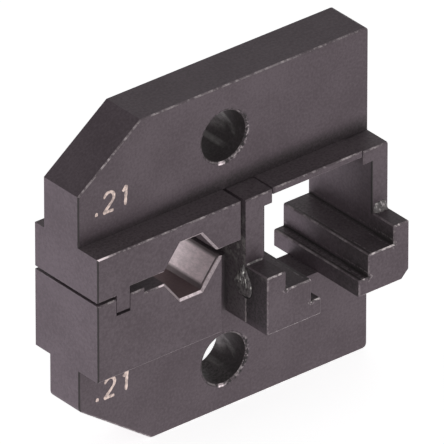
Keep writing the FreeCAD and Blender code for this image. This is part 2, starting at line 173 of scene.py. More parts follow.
class Graph:
    """Node tree of a material or of the world, built by calls and expressions."""

    def __init__(self, owner: bpy.types.Material | bpy.types.World) -> None:
        """Empties the owner's tree.

        Args:
            owner: Material or world.
        """
        self.owner = owner
        owner.use_nodes = True
        self.tree = owner.node_tree
        self.tree.nodes.clear()

    @classmethod
    def of_material(cls, name: str) -> "Graph":
        """Graph of a new material."""
        return cls(bpy.data.materials.new(name))

    @cached_property
    def place(self) -> Socket:
        """Object coordinates, in metres."""
        return self.add("ShaderNodeTexCoord", output="Object")

    @cached_property
    def facing(self) -> Socket:
        """Normal in the object's own axes."""
        return self.add("ShaderNodeTexCoord", output="Normal")

    def backgaroundrays(self) -> Socket:
        """1 for rays that show the background: from the camera, a reflection or a clear part."""
        names = ("Is Camera Ray", "Is Glossy Ray", "Is Transmission Ray")
        camera, glossy, clear = (self.add("ShaderNodeLightPath", output=name) for name in names)
        return camera.high(glossy).high(clear)

    def add(self, kind: str, settings: dict[str, Any] | None = None,
            values: dict[Any, Any] | None = None, output: int | str = 0) -> Socket:
        """Adds one node.

        Args:
            kind: Node type.
            settings: Properties of the node, set first.
            values: Values or links of its sockets, by number or name.
            output: Which output to return.

        Returns:
            The chosen output.
        """
        node = self.tree.nodes.new(kind)
        for name, value in (settings or {}).items():
            setattr(node, name, value)
        for key, value in (values or {}).items():
            if isinstance(value, Socket):
                self.tree.links.new(value.output, node.inputs[key])
            else:
                node.inputs[key].default_value = value
        return Socket(self, node.outputs[output] if node.outputs else None)

    def axes(self, vector: Socket) -> tuple[Socket, Socket, Socket]:
        """The three parts of a vector."""
        node = self.add("ShaderNodeSeparateXYZ", None, {0: vector}).output.node
        return tuple(Socket(self, node.outputs[number]) for number in range(3))

    def millimetre_axes(self) -> tuple[Socket, Socket, Socket]:
        """Object coordinates in millimetres."""
        return tuple(axis * (1 / MM) for axis in self.axes(self.place))

    def noise(self, scale: float, detail: float = 3.0, roughness: float = 0.55,
              stretch: Point = (1.0, 1.0, 1.0)) -> Socket:
        """Noise on object coordinates.

        Args:
            scale: Features per millimetre.
            detail: Octaves.
            roughness: Weight of the finer octaves.
            stretch: Factor on each axis; a small one draws the grain out along it.

        Returns:
            Value from 0 to 1.
        """
        mapped = self.add("ShaderNodeMapping", None, {"Vector": self.place, "Scale": stretch})
        return self.add("ShaderNodeTexNoise", None,
                        {"Vector": mapped, "Scale": scale / MM, "Detail": detail,
                         "Roughness": roughness})

    def mix(self, mask: Any, first: Any, second: Any) -> Socket:
        """Colour that goes from first to second as the mask goes from 0 to 1."""
        first, second = (c if isinstance(c, Socket) else (*c, 1.0) for c in (first, second))
        return self.add("ShaderNodeMix", {"data_type": "RGBA"},
                        {0: mask, 6: first, 7: second}, 2)

    def bump(self, height: Socket, strength: float, distance: float) -> Socket:
        """Normal from a height; the distance is in millimetres."""
        return self.add("ShaderNodeBump", None,
                        {"Strength": strength, "Distance": distance * MM, "Height": height})

    def finish(self, colour: Any, roughness: Any, metallic: Any, normal: Socket | None = None,
               **fixed: Any) -> bpy.types.Material:
        """Closes the graph with one principled shader.

        Args:
            colour: Base colour.
            roughness: Roughness.
            metallic: Metalness.
            normal: Bumped normal.
            **fixed: Further sockets, their names with underscores.

        Returns:
            The material.
        """
        colour = colour if isinstance(colour, Socket) else (*colour, 1.0)
        values = {"Base Color": colour, "Roughness": roughness, "Metallic": metallic}
        if normal is not None:
            values["Normal"] = normal
        values |= {name.replace("_", " "): value for name, value in fixed.items()}
        shader = self.add("ShaderNodeBsdfPrincipled", None, values)
        self.add("ShaderNodeOutputMaterial", None, {"Surface": shader})
        return self.owner


@dataclass(frozen=True)
class NestCorners:
    """Places of the plug nest's corners, alike on both sides of its middle, in millimetres.

    Attributes:
        middle: X of the nest's middle.
        wall: Distance from the middle to each wall.
        riser: Distance from the middle to the riser under each shelf.
        brink: Distance from the middle to the inner edge of each latch shelf.
        shelf: Z of the shelves.
        latch_shelf: Z of the latch shelves.
        lip: Z of the underside of the lips over the nest.
    """

    middle: float = 8.22
    wall: float = 5.95
    riser: float = 3.15
    brink: float = 2.10
    shelf: float = 8.50
    latch_shelf: float = 6.30
    lip: float = 15.40


@dataclass(frozen=True)
class Landmarks:
    """Places on the die that wear, stains and painted light and shade keep to, in millimetres.

    Attributes:
        left: X of the die's left side.
        front: Y of the jaws' front face.
        recess_end: X of the right end of the recess beside the nest.
        recess_start: X of its left end.
        hexagon: Middle of the hexagon in X and Z.
        ledge: Z of the ledge below the upper tang.
        bores: Middles of the two mounting bores in Z.
        bore_radius: Radius of the bores.
        nest: Corners of the plug nest.
    """

    left: float
    front: float
    recess_end: float
    recess_start: float = -2.336
    hexagon: tuple[float, float] = (-5.716, 12.35)
    ledge: float = 16.75
    bores: tuple[float, float] = (0.0, 21.85)
    bore_radius: float = 2.4
    nest: NestCorners = NestCorners()


class DieSurface:
    """Masks of the wear, the stains and the painted light and shade on the die.

    A ramp's two numbers say where its mask starts and where it is full: millimetres from a
    landmark for a place, and a part of the normal for a facing.
    """

    def __init__(self, graph: Graph, marks: Landmarks) -> None:
        """Reads place and facing, and makes the noises that several masks share.

        Args:
            graph: Graph of the material.
            marks: Places that the masks keep to.
        """
        self.graph = graph
        self.marks = marks
        self.x, self.y, self.z = graph.millimetre_axes()
        self.facing_x, self.facing_y, self.facing_z = facing = graph.axes(graph.facing)
        self.across_x, self.across_y, self.across_z = (abs(axis) for axis in facing)
        self.from_left = self.x - marks.left
        self.behind = self.y - marks.front
        self.over_ledge = self.z - marks.ledge
        self.hexagon_x = self.x - marks.hexagon[0]
        self.hexagon_z = self.z - marks.hexagon[1]
        self.aside = abs(self.x - marks.nest.middle)
        self.mottle = graph.noise(4.0, 4.0, 0.65)
        self.patchy = self.mottle.ramp(0.35, 0.65)
        self.chips = graph.noise(4.2, 3.0, 0.6)
        self.grain = graph.noise(3.4, 5.0, 0.8, (1.0, 0.45, 1.0)).ramp(0.30, 0.70)

    @cached_property
    def outline(self) -> Socket:
        """Bevels round the front and back faces, fainter where they face sideways."""
        return self.across_y.ramp(0.30, 0.45) * self.across_y.ramp(0.93, 0.86) \
            * (1 - self.across_x.ramp(0.45, 0.62) * 0.8)

    @property
    def bevels_along(self) -> Socket:
        """Bevels along Y, which face equally far along X and Z."""
        return abs(self.across_x - self.across_z).ramp(0.09, 0.05) \
            * self.across_y.ramp(0.12, 0.05)

    @cached_property
    def rubbed_corner_glint(self) -> Socket:
        """Left end of the ledge's edge: rubbed, and brightest with a painted highlight on its
        corner.
        """
        return self.from_left.ramp(2.4, 0.3) * abs(self.over_ledge).ramp(0.5, 0.3)

    @cached_property
    def hexagon_zone(self) -> Socket:
        """Box round the hexagon."""
        return abs(self.hexagon_x).ramp(3.6, 3.5) * abs(self.hexagon_z).ramp(3.0, 2.9)

    @cached_property
    def crimp_faces(self) -> tuple[Socket, Socket]:
        """Flanks of the lower hexagon, which the crimp has rubbed bare, and flat between them."""
        inner = self.hexagon_zone * self.across_y.ramp(0.12, 0.05) \
            * self.hexagon_z.ramp(0.05, -0.05)
        flat = inner * self.facing_z.towards(1) * self.hexagon_z.ramp(-1.2, -1.4)
        return inner * self.across_x.ramp(0.60, 0.70) * self.across_x.ramp(0.92, 0.86), flat

    @cached_property
    def bore(self) -> tuple[Socket, Socket]:
        """Height over the middle of the nearer bore, and squared distance from its axis."""
        heights = [self.z - middle for middle in self.marks.bores]
        squares = [self.x * self.x + height * height for height in heights]
        near_upper = squares[1].ramp(9.2, 9.0)
        return heights[0] * (1 - near_upper) + heights[1] * near_upper, \
            squares[0].low(squares[1])

    def disc(self, start: float, full: float) -> Socket:
        """Disc round each bore, whose edge lies this far outside the bore's wall."""
        radius = self.marks.bore_radius
        return self.bore[1].ramp((radius + start) ** 2, (radius + full) ** 2)

    @cached_property
    def bore_wall(self) -> Socket:
        """Walls of the bores."""
        return self.disc(0.1, 0.05) * self.across_y.ramp(0.2, 0.1)

    @property
    def painted_reflection_bands(self) -> Socket:
        """Painted reflections in bands on the bores' walls: a slanted, a straight, a deep."""
        height = self.bore[0]
        slanted = abs(height + 0.58 - self.y * 0.456).ramp(0.42, 0.10) * self.y.ramp(-1.1, -0.2)
        straight = abs(self.x - 1.27).ramp(0.34, 0.10) * height.ramp(-0.9, -1.1) \
            * self.y.ramp(-0.9, 0.4)
        deep = abs(height + 0.7).ramp(0.9, 0.3) * self.y.ramp(0.1, 1.1) * self.x.ramp(0.5, 1.0)
        return self.bore_wall * slanted.high(straight).high(deep * 0.8)

    @cached_property
    def rim_face(self) -> Socket:
        """Surface in front of the bores' walls."""
        return (1 - self.bore_wall) * self.facing_y.ramp(-0.2, -0.4)

    @property
    def rim_line(self) -> Socket:
        """Thin line round the bores' front rims."""
        return self.disc(0.25, 0.18) * self.rim_face

    @cached_property
    def torn_rim(self) -> Socket:
        """Torn lower right side of the bores' front rims."""
        return self.disc(0.42, 0.26) * self.rim_face \
            * (self.x * 0.8 - self.bore[0] * 0.6).ramp(0.4, 1.6)

    @cached_property
    def painted_glint(self) -> Socket:
        """Painted highlight at the foot of the bores' front rims, ragged at its ends."""
        glint_patch = self.disc(0.42, 0.26) * self.rim_face * self.bore[0].ramp(-1.9, -2.5) \
            * abs(self.x + 0.35).ramp(0.85, 0.1)
        return (glint_patch * 0.9 + self.chips * 0.7).ramp(0.86, 1.34)

    @cached_property
    def tops(self) -> tuple[Socket, Socket]:
        """Tops up to the ledge's height: those behind the front face, and those before it."""
        tops = self.facing_z.towards(1) * self.over_ledge.ramp(0.3, 0.1)
        jaw = self.behind.ramp(-1.2, 1.0)
        return tops * jaw, tops * (1 - jaw)

    @property
    def shade(self) -> Socket:
        """Dark places: the guide blocks' tops, the nest's right side there, the tang's foot."""
        nest = self.marks.nest
        side = self.facing_x.towards(-1) * self.x.ramp(nest.middle + 1.0, nest.middle + 1.3) \
            * self.z.ramp(nest.shelf + 2.4, nest.shelf + 0.4) * self.behind.ramp(3.5, -2.5)
        ragged = self.over_ledge - self.x.ramp(-12.0, 2.0) * 0.9 \
            - self.graph.noise(0.5, 3.0, 0.6) * 0.8
        foot = self.facing_y.towards(-1) * self.behind.ramp(0.3, 0.5) \
            * self.over_ledge.ramp(-0.05, 0.0) * ragged.ramp(0.5, -0.7)
        return (self.tops[1] * 0.5).high(side).high(foot * 0.75)

    @cached_property
    def recess(self) -> tuple[Socket, Socket]:
        """Floor and right wall of the recess beside the nest, and of the guide block there."""
        start, end = self.marks.recess_start, self.marks.recess_end
        inside = self.x.ramp(start - 0.02, start) * self.x.ramp(end + 0.06, end + 0.03) \
            * self.over_ledge.ramp(0.0, -1.5) * self.over_ledge.ramp(-12.55, -11.15)
        return inside * self.facing_y.towards(-1) * self.behind.ramp(0.2, 0.4), \
            inside * self.facing_x.towards(-1) * self.x.ramp(end - 0.06, end - 0.03)

    @property
    def flux(self) -> Socket:
        """Height at which flux has dried in the recess."""
        floor, wall = self.recess
        return (floor + wall).low(1.0) * self.over_ledge.ramp(-7.35, -5.35) \
            * self.over_ledge.ramp(-1.15, -2.95)

    @cached_property
    def shaded_upright_edges(self) -> Socket:
        """Upright edges of the left side and of the nest's walls at the front face, painted dark
        as shade.
        """
        nest = self.marks.nest
        left = self.across_x.ramp(0.45, 0.60) * self.across_y.ramp(0.30, 0.45) \
            * self.from_left.ramp(0.6, 0.4)
        wall = abs(self.aside - nest.wall).ramp(0.10, 0.06) \
            * self.behind.ramp(0.24, 0.12) * self.behind.ramp(-0.12, -0.06)
        return left.high(wall * self.z.ramp(nest.shelf + 1.6, nest.shelf + 1.8)
                         * self.z.ramp(nest.lip + 0.05, nest.lip))

    @cached_property
    def nest_shade_and_highlights(self) -> tuple[Socket, Socket]:
        """Painted shade along the nest's hollow corners and beside its shelf edges, and dotted
        painted highlights beside them.
        """
        nest, aside = self.marks.nest, self.aside
        on_shelf, on_latch = abs(self.z - nest.shelf), abs(self.z - nest.latch_shelf)
        hollow = (abs(aside - nest.wall) + on_shelf).low(abs(aside - nest.riser) + on_latch)
        shelf = (aside - nest.riser + on_shelf * 9).low(aside - nest.brink + on_latch * 9) \
            + abs(aside - nest.riser).ramp(0.04, 0.02) * 5
        dark = hollow.ramp(0.26, 0.10).high(abs(shelf - 0.27).ramp(0.11, 0.05) * 0.8)
        pale = abs(hollow - 0.40).ramp(0.11, 0.04).high(abs(shelf - 0.46).ramp(0.09, 0.03))
        return dark, pale * self.chips.ramp(0.46, 0.60)


class Tint:
    """Colours of the blackened steel, of what lies on it, and of the light and shade painted on
    it.
    """

    THIN = (0.088, 0.068, 0.078)  # thinner patches of the oxide
    GREY = (0.128, 0.102, 0.116)  # greyer patches
    BARE = (0.98, 0.84, 0.87)  # ground steel in the hexagon, also the painted highlights at the bores' feet and the ledge's corner
    FLAT = (0.30, 0.21, 0.21)  # the hexagon's rubbed flat
    FLANK_BANDS = (0.055, 0.042, 0.044)  # dark bands along its flanks
    BORE_SHADE = (0.040, 0.034, 0.034)  # painted shade on the walls of the bores
    REFLECTION_BANDS = (0.30, 0.285, 0.28)  # painted reflections in bands on the bores' walls
    RIM = (0.035, 0.03, 0.031)  # line round the bores' rims
    TORN = (0.03, 0.027, 0.028)  # hollows in the torn rims
    SHADE_LINES = (0.034, 0.032, 0.031)  # painted shade in the recess, on upright edges and along the nest's corners
    RECESS_LIGHT = (0.165, 0.149, 0.150)  # painted light: lighter grey on the recess's right wall
    GUIDE_SHADOW = (0.036, 0.033, 0.033)  # painted shadow on the left side of the guide block before it
    FLUX = (0.36, 0.33, 0.32)  # dried flux
    DUST_AND_TOP_LIGHT = (0.185, 0.165, 0.168)  # dust, and painted light, on ledges and shelves
    SHADE = (0.043, 0.038, 0.038)  # dark, sheltered places


@dataclass(frozen=True)
class BlackOxide:
    """Blackened ground tool steel, worn pale where edges are broken and bare in the crimp.

    Attributes:
        name: Name of the material.
        marks: Places that wear, stains and painted light and shade keep to.
        worn: Colour of the rubbed edges.
        flecks: Share of bright flecks on the edges.
        along: Strength of the wear on the edges along Y.
    """

    name: str
    marks: Landmarks
    worn: Colour = (0.40, 0.355, 0.36)
    flecks: float = 0.45
    along: float = 1.0

    def edges(self, die: DieSurface) -> Socket:
        """Mask of the worn edges: patchy, flecked, ground in the hexagon and torn at the bores,
        with painted highlights.
        """
        patches = die.graph.noise(1.1, 4.0, 0.7).ramp(0.44, 0.62)
        flecks = die.graph.noise(2.6, 3.0, 0.6).ramp(0.50, 0.60)
        wear = patches * 0.45 + flecks * self.flecks + 0.10 + die.rubbed_corner_glint
        along = die.bevels_along * (patches * 0.35 + die.mottle * 0.25) * self.along
        edge = (die.outline * wear).low(1.0).high(along) * (1 - die.bore_wall)
        edge = edge.high(die.outline * die.hexagon_zone * (die.grain * 0.5 + 0.5))
        edge = edge.high(die.torn_rim * die.chips.ramp(0.54, 0.64) * 0.7)
        edge = edge.high(die.painted_glint) * (1 - die.shaded_upright_edges * 0.9)
        # Dotted painted highlights beside the nest's corners.
        return edge.high(die.nest_shade_and_highlights[1] * 0.22)

    def oxide(self, die: DieSurface) -> Socket:
        """Colour of the oxide with its stains and its painted light, shade and reflections, each
        laid over the ones before it.
        """
        graph, end = die.graph, self.marks.recess_end
        mottle, patchy, chips = die.mottle, die.patchy, die.chips
        streaks = graph.noise(1.3, 3.0, 0.6, (1.0, 0.15, 1.0)).ramp(0.40, 0.62)
        spots = graph.noise(1.6, 4.0, 0.7).ramp(0.48, 0.62)
        floor, wall = die.recess
        # Painted shade on the recess floor, darker towards the guide block's wall.
        recess_shade = floor * die.x.ramp(end - 0.6, end - 0.08)
        layers = (
            # Painted shade on the bores' walls.
            (die.bore_wall * (1 - patchy * 0.35), Tint.BORE_SHADE),
            # Painted reflections on the bores' walls.
            (die.painted_reflection_bands * (streaks * 0.4 + die.grain * 0.4), Tint.REFLECTION_BANDS),
            (die.rim_line * chips.ramp(0.58, 0.44) * 0.8, Tint.RIM),
            # Painted shade in the recess, on upright edges and along the nest's corners.
            ((recess_shade * 0.75).high(die.shaded_upright_edges * 0.85).high(die.nest_shade_and_highlights[0] * 0.8), Tint.SHADE_LINES),
            # Painted light on the recess's right wall behind the front face.
            (wall * die.behind.ramp(-0.6, 0.2) * mottle.ramp(0.30, 0.62) * 0.7, Tint.RECESS_LIGHT),
            # Painted shadow on the guide block's left side, before the front face.
            (wall * die.behind.ramp(0.2, -0.1) * (1 - patchy * 0.4) * 0.9, Tint.GUIDE_SHADOW),
            (die.flux * spots * 0.6, Tint.FLUX),
            (die.torn_rim * chips.ramp(0.50, 0.42), Tint.TORN),
            # Dust and painted light: patchy lighter tops behind the front face.
            (die.tops[0] * mottle.ramp(0.30, 0.66) * 0.42, Tint.DUST_AND_TOP_LIGHT),
            (die.shade * (1 - patchy * 0.4), Tint.SHADE),
        )
        clouds = (graph.noise(0.22, 3.0, 0.5) * 0.35 + mottle * 0.65).ramp(0.35, 0.65)
        colour = graph.mix(clouds, Tint.THIN, Tint.GREY)
        for mask, tint in layers:
            colour = graph.mix(mask, colour, tint)
        return colour

    def flank_steel(self, die: DieSurface) -> Socket:
        """Colour of the hexagon's bare flanks, with a painted sheen brighter to the lower right,
        and darker bands above, below and in front.
        """
        graph, height = die.graph, die.hexagon_z
        # Painted sheen: the flanks lighter towards the lower right.
        painted_sheen = (height - die.hexagon_x * 0.6).ramp(-0.2, -2.4)
        band = height.ramp(-2.5, -2.2) * height.ramp(-0.25, -0.55)
        lip = abs(die.behind - 0.38).ramp(0.13, 0.06)
        dull = tuple(0.6 * part for part in Tint.BARE)
        steel = graph.mix(die.grain * 0.7 + painted_sheen * 0.4, dull, Tint.BARE)
        return graph.mix((lip * 0.8).high((1 - band) * 0.85), steel, Tint.FLANK_BANDS)

    def material(self) -> bpy.types.Material:
        """Builds the material."""
        graph = Graph.of_material(self.name)
        die = DieSurface(graph, self.marks)
        edge = self.edges(die)
        flanks, flat = die.crimp_faces
        # Ground steel in the hexagon, and painted highlights at the bores' feet and the ledge's
        # corner.
        bare = die.hexagon_zone.high(die.painted_glint).high(die.outline * die.rubbed_corner_glint)
        worn = graph.mix(bare, self.worn, Tint.BARE)
        colour = graph.mix(edge, self.oxide(die), worn)
        colour = graph.mix(flat * 0.55, colour, Tint.FLAT)
        colour = graph.mix(flanks, colour, self.flank_steel(die))
        roughness = 0.50 + die.mottle * 0.12 - edge * 0.16 - flanks * 0.14 - flat * 0.1
        metallic = (edge * 0.55).high(flanks * 0.8).high(flat * 0.4)
        grind = graph.noise(6.0, 3.0, 0.6, (0.12, 1.0, 1.0))
        height = die.mottle * 0.5 + grind * 0.5 + die.torn_rim * die.chips * 2.0
        return graph.finish(colour, roughness, metallic, graph.bump(height, 0.16, 0.03),
                            Specular_IOR_Level=0.12)


@dataclass(frozen=True)
class GroundSteel:
    """Bare or lightly tinted ground steel, for punches and pins.

    Attributes:
        name: Name of the material.
        colour: Colour of the steel.
        roughness: Middle roughness.
        along: Stretch of the grinding marks on each axis.
        stain: How far dark stain covers the steel, from 0 to 1.
    """

    name: str
    colour: Colour = (0.36, 0.34, 0.34)
    roughness: float = 0.34
    along: Point = (1.0, 1.0, 0.1)
    stain: float = 0.35

    def material(self) -> bpy.types.Material:
        """Builds the material."""
        graph = Graph.of_material(self.name)
        marks = graph.noise(9.0, 4.0, 0.6, self.along)
        blotches = graph.noise(1.4, 4.0, 0.6).ramp(0.42, 0.62)
        dark = tuple(0.28 * part for part in self.colour)
        colour = graph.mix(blotches * self.stain, self.colour, dark)
        roughness = self.roughness + marks * 0.14 + blotches * 0.08
        return graph.finish(colour, roughness, 0.85, graph.bump(marks, 0.25, 0.02))


@dataclass(frozen=True)
class RoughBraze:
    """Rough, half-blackened braze metal with a few painted glints.

    Attributes:
        name: Name of the material.
        dark: Colour of the flux-dark metal.
        grey: Colour of the rubbed metal.
        bright: Colour of the painted glints.
        glints_from: Z from which the painted glints are at their brightest.
    """

    name: str
    dark: Colour = (0.085, 0.074, 0.076)
    grey: Colour = (0.20, 0.18, 0.18)
    bright: Colour = (0.78, 0.76, 0.72)
    glints_from: float = 8.6

    def material(self) -> bpy.types.Material:
        """Builds the material."""
        graph = Graph.of_material(self.name)
        lumps = graph.noise(2.4, 4.0, 0.6)
        _, _, z = graph.millimetre_axes()
        painted_glints = graph.noise(3.4, 2.0, 0.5, (1.0, 1.0, 0.45)).ramp(0.55, 0.61) \
            * z.ramp(self.glints_from - 0.6, self.glints_from)
        colour = graph.mix(painted_glints, graph.mix(lumps.ramp(0.38, 0.62), self.dark, self.grey),
                           self.bright)
        return graph.finish(colour, 0.42 - painted_glints * 0.22, painted_glints * 0.5,
                            graph.bump(lumps, 0.8, 0.12))


@dataclass(frozen=True)
class ScribedMetal:
    """Pale metal laid open by a hand engraver.

    Attributes:
        name: Name of the material.
        pale: Colour where the cut is fresh.
        dull: Colour where it has darkened.
    """

    name: str
    pale: Colour = (0.66, 0.52, 0.47)
    dull: Colour = (0.34, 0.26, 0.24)

    def material(self) -> bpy.types.Material:
        """Builds the material."""
        graph = Graph.of_material(self.name)
        wear = graph.noise(2.6, 3.0, 0.6).ramp(0.36, 0.58)
        ripple = graph.noise(11.0, 2.0, 0.5)
        return graph.finish(graph.mix(wear, self.dull, self.pale), 0.46, 0.25,
                            graph.bump(ripple, 0.4, 0.02))


@dataclass(frozen=True)
class PaleStage:
    """Plain pale floor that keeps the object's shadow.

    Attributes:
        colour: Its colour under the lamps.
        lift: Brightness that the background's rays find on it besides.
    """

    colour: Colour = (0.80, 0.80, 0.80)
    lift: Colour = (0.79, 0.79, 0.79)

    def material(self) -> bpy.types.Material:
        """Builds the material, whose lift shows in the background's rays alone."""
        graph = Graph.of_material("pale_stage")
        glow = graph.mix(graph.backgaroundrays(), (0.0, 0.0, 0.0), self.lift)
        return graph.finish(self.colour, 0.9, 0.0, None, Specular_IOR_Level=0.0,
                            Emission_Color=glow, Emission_Strength=1.0)


def grid_object(name: str, points: np.ndarray, closed: bool = False, capped: bool = False,
                smooth: bool = True) -> bpy.types.Object:
    """Makes a mesh object from a grid of points.

    Args:
        name: Name of the object.
        points: Array of shape (u, v, 3) in millimetres.
        closed: Whether the last column joins the first.
        capped: Whether the first and last rows are filled with one face each.
        smooth: Whether the faces are shaded smooth.

    Returns:
        The new object, at the origin, with its normals pointing outwards.
    """
    rows, columns = points.shape[:2]
    row, column = np.meshgrid(np.arange(rows - 1), np.arange(columns if closed else columns - 1),
                              indexing="ij")
    here, above, beside = row * columns, (row + 1) * columns, (column + 1) % columns
    faces = np.stack([here + column, above + column, above + beside, here + beside], axis=-1)
    polygons = faces.reshape(-1, 4).tolist()
    if capped:
        polygons += [list(range(columns))[::-1], list(range((rows - 1) * columns, rows * columns))]
    mesh = bpy.data.meshes.new(name)
    mesh.from_pydata((points.reshape(-1, 3) * MM).tolist(), [], polygons)
    mesh.update()
    piece = bpy.data.objects.new(name, mesh)
    bpy.context.scene.collection.objects.link(piece)
    outwards(piece)
    if smooth:
        mesh.polygons.foreach_set("use_smooth", np.ones(len(mesh.polygons), bool))
    return piece


def outwards(piece: bpy.types.Object) -> None:
    """Merges doubles and turns every face of a closed piece outwards."""
    work = bmesh.new()
    work.from_mesh(piece.data)
    bmesh.ops.remove_doubles(work, verts=work.verts, dist=MERGE)
    bmesh.ops.recalc_face_normals(work, faces=work.faces)
    work.to_mesh(piece.data)
    work.free()
    piece.data.update()


def dress(piece: bpy.types.Object, material: bpy.types.Material, body: str) -> None:
    """Gives a piece its material and body.

    Args:
        piece: The piece.
        material: Its material.
        body: Body that it rides on.
    """
    piece.data.materials.clear()
    piece.data.materials.append(material)
    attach(piece, body)
    log.info("%s rides on %s", piece.name, body)


def add_seam(kind: str, side: Side, points: np.ndarray, material: bpy.types.Material,
             **options: bool) -> None:
    """Makes one piece of a seam from a grid of points and sets it on the lower half."""
    piece = grid_object(f"seam_{kind}_{side.name.lower()}", points, **options)
    dress(piece, material, LOWER)


def ripple(points: np.ndarray, size: float, pitch: float, seed: float) -> np.ndarray:
    """Smooth pseudo-random offset, a sum of sines of the place with unrelated pitches.

    Args:
        points: Array of places in millimetres, shape (..., 3).
        size: Largest offset in millimetres.
        pitch: Main wavelength in millimetres.
        seed: Phase that makes one piece differ from the next.

    Returns:
        Offsets with the places' leading shape.
    """
    x, y, z = np.moveaxis(points, -1, 0)
    turn = 2 * np.pi / pitch
    waves = (np.sin(turn * x + 1.7 * seed) * np.cos(turn * 1.31 * z + seed)
             + 0.6 * np.sin(turn * 2.17 * y + 2.3 * seed + 1.9 * np.sin(turn * x))
             + 0.4 * np.cos(turn * 3.4 * z + turn * 2.9 * x + seed))
    return size * waves / 2.0


@dataclass
class EngravedNumber:
    """A plain number cut by hand into a tang's front face.

    Each stroke is a centre line with a shallow trough and two low burrs carried along it.

    Attributes:
        text: Digits and points to cut.
        body: Body that the face belongs to.
        corner: Lower left corner of the first digit in X and Z, in millimetres.
        face_y: Y of the face, in millimetres.
        height: Height of a digit.
        width: Width of a digit.
        pitch: Step from one digit to the next.
        stroke: Width of the cut.
        slant: Lean of the digits to the right, as a share of their height.
        burr: Height of the burrs.
    """

    text: str
    body: str
    corner: tuple[float, float]
    face_y: float
    height: float = 1.88
    width: float = 1.28
    pitch: float = 1.78
    stroke: float = 0.26
    slant: float = 0.08
    burr: float = 0.022

    def strokes(self, character: str) -> list[np.ndarray]:
        """Centre lines of a character in a cell of unit width and height.

        Args:
            character: A digit or a point.

        Returns:
            Arrays of shape (n, 2), each one stroke of the engraver.
        """
        turn = np.linspace(0, 1, 40)
        if character == ".":
            return [np.stack([0.02 * np.cos(turn * 6.0), 0.08 + 0.02 * np.sin(turn * 6.0)], 1)]
        if character == "1":
            stem = np.stack([0.55 + 0 * turn, 1 - turn], 1)
            flag = np.stack([0.25 + 0.3 * turn, 0.74 + 0.26 * turn], 1)
            return [flag, stem]
        if character == "2":
            angle = np.radians(170 - 215 * turn)
            bow = np.stack([0.48 + 0.42 * np.cos(angle), 0.70 + 0.30 * np.sin(angle)], 1)
            end = bow[-1]
            tail = np.stack([end[0] + (0.06 - end[0]) * turn,
                             end[1] * (1 - turn) ** 1.15], 1)
            base = np.stack([0.06 + 0.88 * turn, 0.02 * np.sin(np.pi * turn)], 1)
            return [np.concatenate([bow, tail[1:]]), base]
        raise ValueError(f"no strokes for {character!r}")

    def ribbon(self, line: np.ndarray) -> np.ndarray:
        """Carries the cut's profile along a centre line.

        The profile runs across the stroke: face, burr, trough, burr, face. Its ends taper.

        Args:
            line: Centre line in millimetres in the face's plane, shape (n, 2).

        Returns:
            Grid of points, shape (n, profile, 3).
        """
        ahead = np.gradient(line, axis=0)
        ahead /= np.linalg.norm(ahead, axis=1, keepdims=True) + 1e-9
        side = np.stack([-ahead[:, 1], ahead[:, 0]], 1)
        across = np.array([-0.62, -0.5, -0.36, -0.15, 0.0, 0.15, 0.36, 0.5, 0.62])
        rise = np.array([-0.4, 0.9, 1.0, 0.35, 0.2, 0.35, 1.0, 0.9, -0.4])
        share = np.linspace(0, 1, len(line))
        taper = np.minimum(1, np.minimum(share, 1 - share) * len(line) / 4 + 0.45)
        shake = 1 + 0.10 * np.sin(share * 19 + line[:, 0] * 3)
        half = (self.stroke * taper * shake)[:, None] * across[None, :]
        flat = line[:, None, :] + half[..., None] * side[:, None, :]
        depth = self.face_y - self.burr * rise[None, :] * np.ones((len(line), 1))
        return np.stack([flat[..., 0], depth, flat[..., 1]], axis=-1)

    def build(self, material: bpy.types.Material, slot: str) -> None:
        """Cuts the whole number.

        Args:
            material: Material of the cut.
            slot: Slot of the record; not used.
        """
        start = self.corner[0] - 0.42 * self.pitch * self.text.startswith(".")
        for number, character in enumerate(self.text):
            for part, line in enumerate(self.strokes(character)):
                cell = line * (self.width, self.height)
                cell[:, 0] += start + self.slant * cell[:, 1]
                cell[:, 1] += self.corner[1]
                name = f"{self.body}_number_{number}_{part}"
                piece = grid_object(name, self.ribbon(cell))
                dress(piece, material, self.body)
            start += self.pitch * (0.36 if character == "." else 1.0)


@dataclass
class SeamBead:
    """Rough braze fillet in the corner between the nest's wall and a guide block's top.

    The section is a hollow quarter round that ripples along the corner and thins at its ends.

    Attributes:
        side: Side of the nest.
        start: X of one end, in millimetres.
        end: X of the other end.
        corner_y: Y of the corner line.
        corner_z: Z of the corner line.
        rise: Height up the wall.
        reach: Reach over the block.
        lumps: Size of the ripples.
    """

    side: Side
    start: float
    end: float
    corner_y: float
    corner_z: float
    rise: float
    reach: float
    lumps: float

    def build(self, material: bpy.types.Material) -> None:
        """Builds the bead and sets it on the lower half."""
        along = np.linspace(0, 1, 48)[:, None]
        around = np.linspace(0, 1, 14)[None, :]
        swell = np.clip(np.sin(np.pi * along) * 2.2, 0, 1) ** 0.5
        hollow = 1 - 0.42 * np.sin(np.pi * around)
        up = self.rise * swell * hollow * np.sin(around * np.pi / 2)
        out = self.reach * swell * hollow * np.cos(around * np.pi / 2)
        x = self.start + (self.end - self.start) * along + 0 * around
        points = np.stack([x, self.corner_y - out, self.corner_z + up], axis=-1)
        bulge = ripple(points, self.lumps, 0.9, float(self.side.value) + 3.0) * swell
        points[..., 1] -= np.abs(bulge) * (1 - around ** 3)
        points[..., 2] += np.abs(bulge) * around
        foot = np.stack([x[:, :1], 0 * x[:, :1] + self.corner_y + 0.02,
                         0 * x[:, :1] + self.corner_z - 0.02], axis=-1)
        ring = np.concatenate([points, foot], axis=1)
        add_seam("bead", self.side, ring, material, closed=True, capped=True)


@dataclass
class SidePiece:
    """A piece of a seam on a guide block's outer side.

    Attributes:
        side: Side of the nest.
        face_x: X of the side face.
        y: Y of the seam.
        low: Z of the lower end.
        high: Z of the upper end.
    """

    side: Side
    face_x: float
    y: float
    low: float
    high: float


